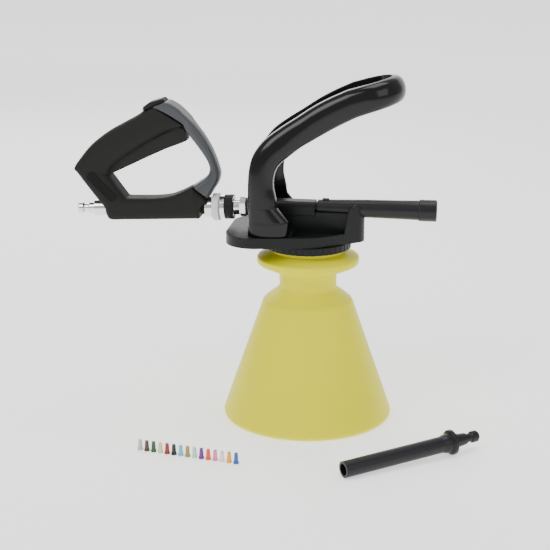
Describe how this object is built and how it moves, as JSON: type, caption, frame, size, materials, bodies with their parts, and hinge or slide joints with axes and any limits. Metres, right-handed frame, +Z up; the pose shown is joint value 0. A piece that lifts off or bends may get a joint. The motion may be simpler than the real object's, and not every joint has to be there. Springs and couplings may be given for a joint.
{
  "type": "foam sprayer",
  "caption": "Hand-carried foam sprayer: conical collared bottle, head with hooped handle and injector, foam lance, trigger gun on a quick coupling, with a loose rinse lance and metering tips.",
  "frame": {"origin": "centre of the bottle's flat base", "axes": "+Z up along the bottle's axis, +X along the foam lance, -Y the near side where the spare tips and the rinse lance lie"},
  "size_m": [0.477, 0.2936, 0.4025],
  "materials": {
    "yellow": "satin",
    "black_gloss": "gloss",
    "black_satin": "satin",
    "gun_grey": "matte",
    "guard_grey": "satin",
    "chrome": "polished",
    "steel": "brushed",
    "brass": "satin",
    "rubber": "matte",
    "pale_grey": "satin",
    "white": "satin",
    "tip_light_grey": "satin",
    "tip_brown": "satin",
    "tip_green": "satin",
    "tip_cream": "satin",
    "tip_dark_red": "satin",
    "tip_black": "satin",
    "tip_light_blue": "satin",
    "tip_olive": "satin",
    "tip_mint": "satin",
    "tip_purple": "satin",
    "tip_orange": "satin",
    "tip_pink": "satin",
    "tip_clear": "satin",
    "tip_yellow": "satin",
    "tip_blue": "satin"
  },
  "bodies": {
    "bottle": {"bottle": "yellow", "mouth_gasket": "rubber"},
    "head": {"head_plate": "black_satin", "vent_valve": "rubber", "carry_handle": "black_gloss", "handle_screws": "steel", "injector_housing": "black_satin", "venturi_nozzle": "brass", "injector_seals": "rubber", "suction_fitting": "white", "check_ball": "steel", "fitted_tip": "tip_blue", "dip_tube": "white", "strainer": "white", "inlet_nipple": "chrome", "inlet_washer": "rubber"},
    "cap_ring": {"cap_ring": "black_satin"},
    "foam_lance": {"lance_tube": "black_satin", "lance_oring": "rubber", "lance_cuff": "black_satin", "foam_gauze": "steel"},
    "gun": {"gun_shell_near": "gun_grey", "gun_shell_far": "gun_grey", "hand_guard": "guard_grey", "case_screws": "steel", "side_panels": "black_satin", "trigger_pin": "steel", "valve_body": "brass", "valve_seal": "rubber", "valve_spring": "steel", "hose_plug": "chrome", "coupler_body": "chrome", "coupler_seal": "rubber", "locking_balls": "steel", "coupler_collar": "pale_grey", "coupler_snap_ring": "steel", "coupler_spring": "steel", "valve_stem": "steel", "grip_end_cap": "gun_grey"},
    "trigger": {"trigger": "gun_grey"},
    "coupler_sleeve": {"coupler_sleeve": "chrome", "sleeve_grip_ring": "black_satin"},
    "rinse_lance": {"rinse_lance": "black_satin"},
    "spare_tips": {"metering_tip_01": "tip_light_grey", "metering_tip_02": "tip_brown", "metering_tip_03": "tip_green", "metering_tip_04": "tip_cream", "metering_tip_05": "tip_dark_red", "metering_tip_06": "tip_black", "metering_tip_07": "tip_light_blue", "metering_tip_08": "tip_olive", "metering_tip_09": "tip_mint", "metering_tip_10": "tip_purple", "metering_tip_11": "tip_orange", "metering_tip_12": "tip_pink", "metering_tip_13": "tip_clear", "metering_tip_14": "tip_yellow", "metering_tip_15": "tip_blue"}
  },
  "joints": [
    {"name": "head_lift", "type": "slide", "parent": "bottle", "child": "head", "axis": [0, 0, 1], "range_m": [0, 0.22]},
    {"name": "cap_turn", "type": "hinge", "parent": "head", "child": "cap_ring", "pos_m": [0, 0, 0.2076], "axis": [0, 0, 1], "continuous": true},
    {"name": "lance_pull", "type": "slide", "parent": "head", "child": "foam_lance", "axis": [1, 0, 0], "range_m": [0, 0.05]},
    {"name": "gun_swivel", "type": "hinge", "parent": "head", "child": "gun", "pos_m": [-0.09694, 0, 0.24589], "axis": [0.9992, 0, 0.0401], "continuous": true},
    {"name": "trigger_pivot", "type": "hinge", "parent": "gun", "child": "trigger", "pos_m": [-0.2368, 0, 0.28931], "axis": [0, -1, 0], "range_deg": [0, 4.5], "stiffness_Nm_per_rad": 6, "springref_deg": -8.59},
    {"name": "sleeve_slide", "type": "slide", "parent": "gun", "child": "coupler_sleeve", "axis": [0.9992, 0, 0.0401], "range_m": [0, 0.004], "stiffness_N_per_m": 600, "springref_m": -0.003},
    {"name": "rinse_lift", "type": "slide", "parent": "bottle", "child": "rinse_lance", "axis": [0, 0, 1], "range_m": [0, 0.15]},
    {"name": "tips_lift", "type": "slide", "parent": "bottle", "child": "spare_tips", "axis": [0, 0, 1], "range_m": [0, 0.15]}
  ]
}
